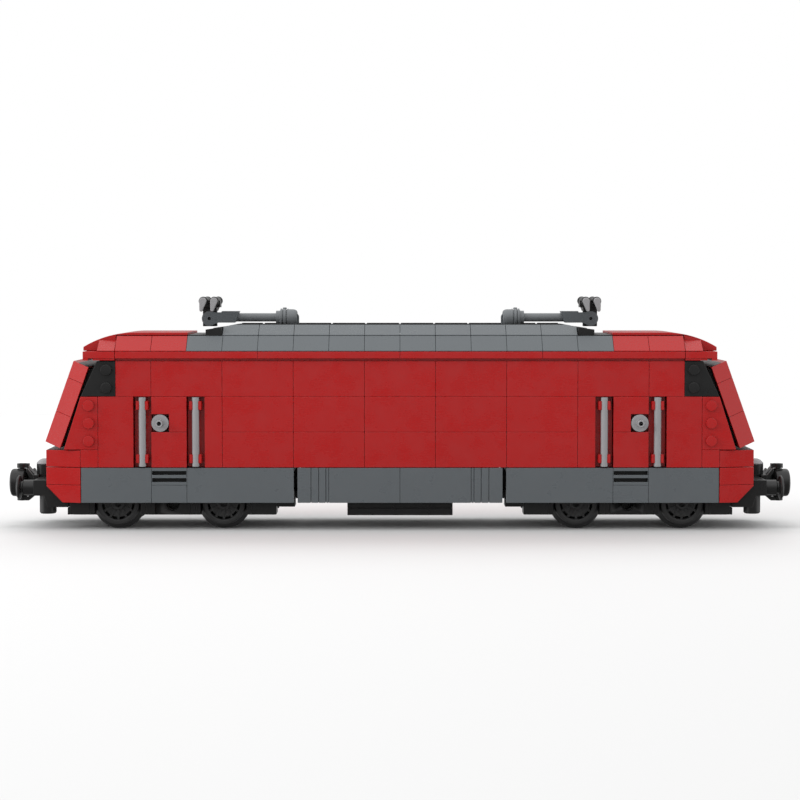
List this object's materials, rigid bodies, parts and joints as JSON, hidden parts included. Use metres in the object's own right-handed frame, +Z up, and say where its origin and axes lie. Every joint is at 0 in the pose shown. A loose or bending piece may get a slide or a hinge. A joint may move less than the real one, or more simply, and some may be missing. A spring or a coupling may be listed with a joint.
{
  "type": "model electric locomotive",
  "caption": "Brick-built model electric locomotive: red body on two swivelling bogies, folding roof pantographs, magnetic couplers.",
  "frame": {"origin": "under the centre of the locomotive, level with the lowest point of the wheel flanges", "axes": "+X towards the front end, along the rails; +Y to the left side; +Z up"},
  "size_m": [0.3612, 0.07, 0.1057],
  "materials": {
    "red_plastic": "glossy moulded ABS with fine scratches",
    "grey_plastic": "glossy moulded ABS",
    "black_plastic": "satin moulded ABS",
    "light_grey_plastic": "glossy moulded ABS",
    "dark_glazing": "polished smoke-black plastic",
    "steel": "drawn steel rod"
  },
  "bodies": {
    "car_body": {"main_floor": "black_plastic", "equipment_tank": "black_plastic", "roof_deck": "black_plastic", "roof_centre": "grey_plastic", "side_wall_left": "red_plastic", "middle_skirt_left": "grey_plastic", "roof_side_left": "grey_plastic", "handrail_front_left_outer": "light_grey_plastic", "handrail_front_left_inner": "light_grey_plastic", "handrail_rear_left_outer": "light_grey_plastic", "handrail_rear_left_inner": "light_grey_plastic", "side_wall_right": "red_plastic", "middle_skirt_right": "grey_plastic", "roof_side_right": "grey_plastic", "handrail_front_right_outer": "light_grey_plastic", "handrail_front_right_inner": "light_grey_plastic", "handrail_rear_right_outer": "light_grey_plastic", "handrail_rear_right_inner": "light_grey_plastic", "cab_roof_front": "red_plastic", "cab_nose_front": "red_plastic", "cab_roof_rear": "red_plastic", "cab_nose_rear": "red_plastic"},
    "windscreen_panel_front": {"windscreen_frame_front": "red_plastic", "windscreen_front": "dark_glazing"},
    "pantograph_arm_front": {"pantograph_arm_front": "grey_plastic"},
    "pantograph_head_front": {"pantograph_head_front": "black_plastic", "contact_strip_front_outer": "black_plastic", "contact_strip_front_inner": "black_plastic"},
    "bogie_front": {"bogie_frame_front": "black_plastic", "bogie_skirt_front_left": "grey_plastic", "bogie_skirt_front_right": "grey_plastic", "nose_fairing_front": "red_plastic", "buffer_beam_front": "black_plastic", "coupler_holder_front": "black_plastic"},
    "coupler_front": {"coupler_magnet_front": "black_plastic"},
    "wheelset_front_outer": {"axle_front_outer": "steel", "wheel_front_outer_left": "black_plastic", "wheel_front_outer_right": "black_plastic"},
    "wheelset_front_inner": {"axle_front_inner": "steel", "wheel_front_inner_left": "black_plastic", "wheel_front_inner_right": "black_plastic"},
    "windscreen_panel_rear": {"windscreen_frame_rear": "red_plastic", "windscreen_rear": "dark_glazing"},
    "pantograph_arm_rear": {"pantograph_arm_rear": "grey_plastic"},
    "pantograph_head_rear": {"pantograph_head_rear": "black_plastic", "contact_strip_rear_outer": "black_plastic", "contact_strip_rear_inner": "black_plastic"},
    "bogie_rear": {"bogie_frame_rear": "black_plastic", "bogie_skirt_rear_left": "grey_plastic", "bogie_skirt_rear_right": "grey_plastic", "nose_fairing_rear": "red_plastic", "buffer_beam_rear": "black_plastic", "coupler_holder_rear": "black_plastic"},
    "coupler_rear": {"coupler_magnet_rear": "black_plastic"},
    "wheelset_rear_outer": {"axle_rear_outer": "steel", "wheel_rear_outer_left": "black_plastic", "wheel_rear_outer_right": "black_plastic"},
    "wheelset_rear_inner": {"axle_rear_inner": "steel", "wheel_rear_inner_left": "black_plastic", "wheel_rear_inner_right": "black_plastic"}
  },
  "joints": [
    {"name": "bogie_yaw_front", "type": "hinge", "parent": "car_body", "child": "bogie_front", "pos_m": [0.104, 0, 0.0284], "axis": [0, 0, 1], "range_deg": [-20, 20]},
    {"name": "wheel_spin_front_outer", "type": "hinge", "parent": "bogie_front", "child": "wheelset_front_outer", "pos_m": [0.128, 0, 0.012], "axis": [0, 1, 0], "continuous": true},
    {"name": "wheel_spin_front_inner", "type": "hinge", "parent": "bogie_front", "child": "wheelset_front_inner", "pos_m": [0.08, 0, 0.012], "axis": [0, 1, 0], "continuous": true},
    {"name": "coupler_swing_front", "type": "hinge", "parent": "bogie_front", "child": "coupler_front", "pos_m": [0.1755, 0, 0.01935], "axis": [0, 0, 1], "range_deg": [-20, 20]},
    {"name": "pantograph_raise_front", "type": "hinge", "parent": "car_body", "child": "pantograph_arm_front", "pos_m": [0.049, 0, 0.096], "axis": [0, -1, 0], "range_deg": [0, 60]},
    {"name": "pantograph_head_tilt_front", "type": "hinge", "parent": "pantograph_arm_front", "child": "pantograph_head_front", "pos_m": [0.088, 0, 0.0955], "axis": [0, 1, 0], "range_deg": [-15, 60]},
    {"name": "windscreen_tilt_front", "type": "hinge", "parent": "car_body", "child": "windscreen_panel_front", "pos_m": [0.1531, 0, 0.039], "axis": [0, 1, 0], "range_deg": [0, 17]},
    {"name": "bogie_yaw_rear", "type": "hinge", "parent": "car_body", "child": "bogie_rear", "pos_m": [-0.104, 0, 0.0284], "axis": [0, 0, 1], "range_deg": [-20, 20]},
    {"name": "wheel_spin_rear_outer", "type": "hinge", "parent": "bogie_rear", "child": "wheelset_rear_outer", "pos_m": [-0.128, 0, 0.012], "axis": [0, 1, 0], "continuous": true},
    {"name": "wheel_spin_rear_inner", "type": "hinge", "parent": "bogie_rear", "child": "wheelset_rear_inner", "pos_m": [-0.08, 0, 0.012], "axis": [0, 1, 0], "continuous": true},
    {"name": "coupler_swing_rear", "type": "hinge", "parent": "bogie_rear", "child": "coupler_rear", "pos_m": [-0.1755, 0, 0.01935], "axis": [0, 0, 1], "range_deg": [-20, 20]},
    {"name": "pantograph_raise_rear", "type": "hinge", "parent": "car_body", "child": "pantograph_arm_rear", "pos_m": [-0.049, 0, 0.096], "axis": [0, 1, 0], "range_deg": [0, 60]},
    {"name": "pantograph_head_tilt_rear", "type": "hinge", "parent": "pantograph_arm_rear", "child": "pantograph_head_rear", "pos_m": [-0.088, 0, 0.0955], "axis": [0, -1, 0], "range_deg": [-15, 60]},
    {"name": "windscreen_tilt_rear", "type": "hinge", "parent": "car_body", "child": "windscreen_panel_rear", "pos_m": [-0.1531, 0, 0.039], "axis": [0, -1, 0], "range_deg": [0, 17]}
  ]
}
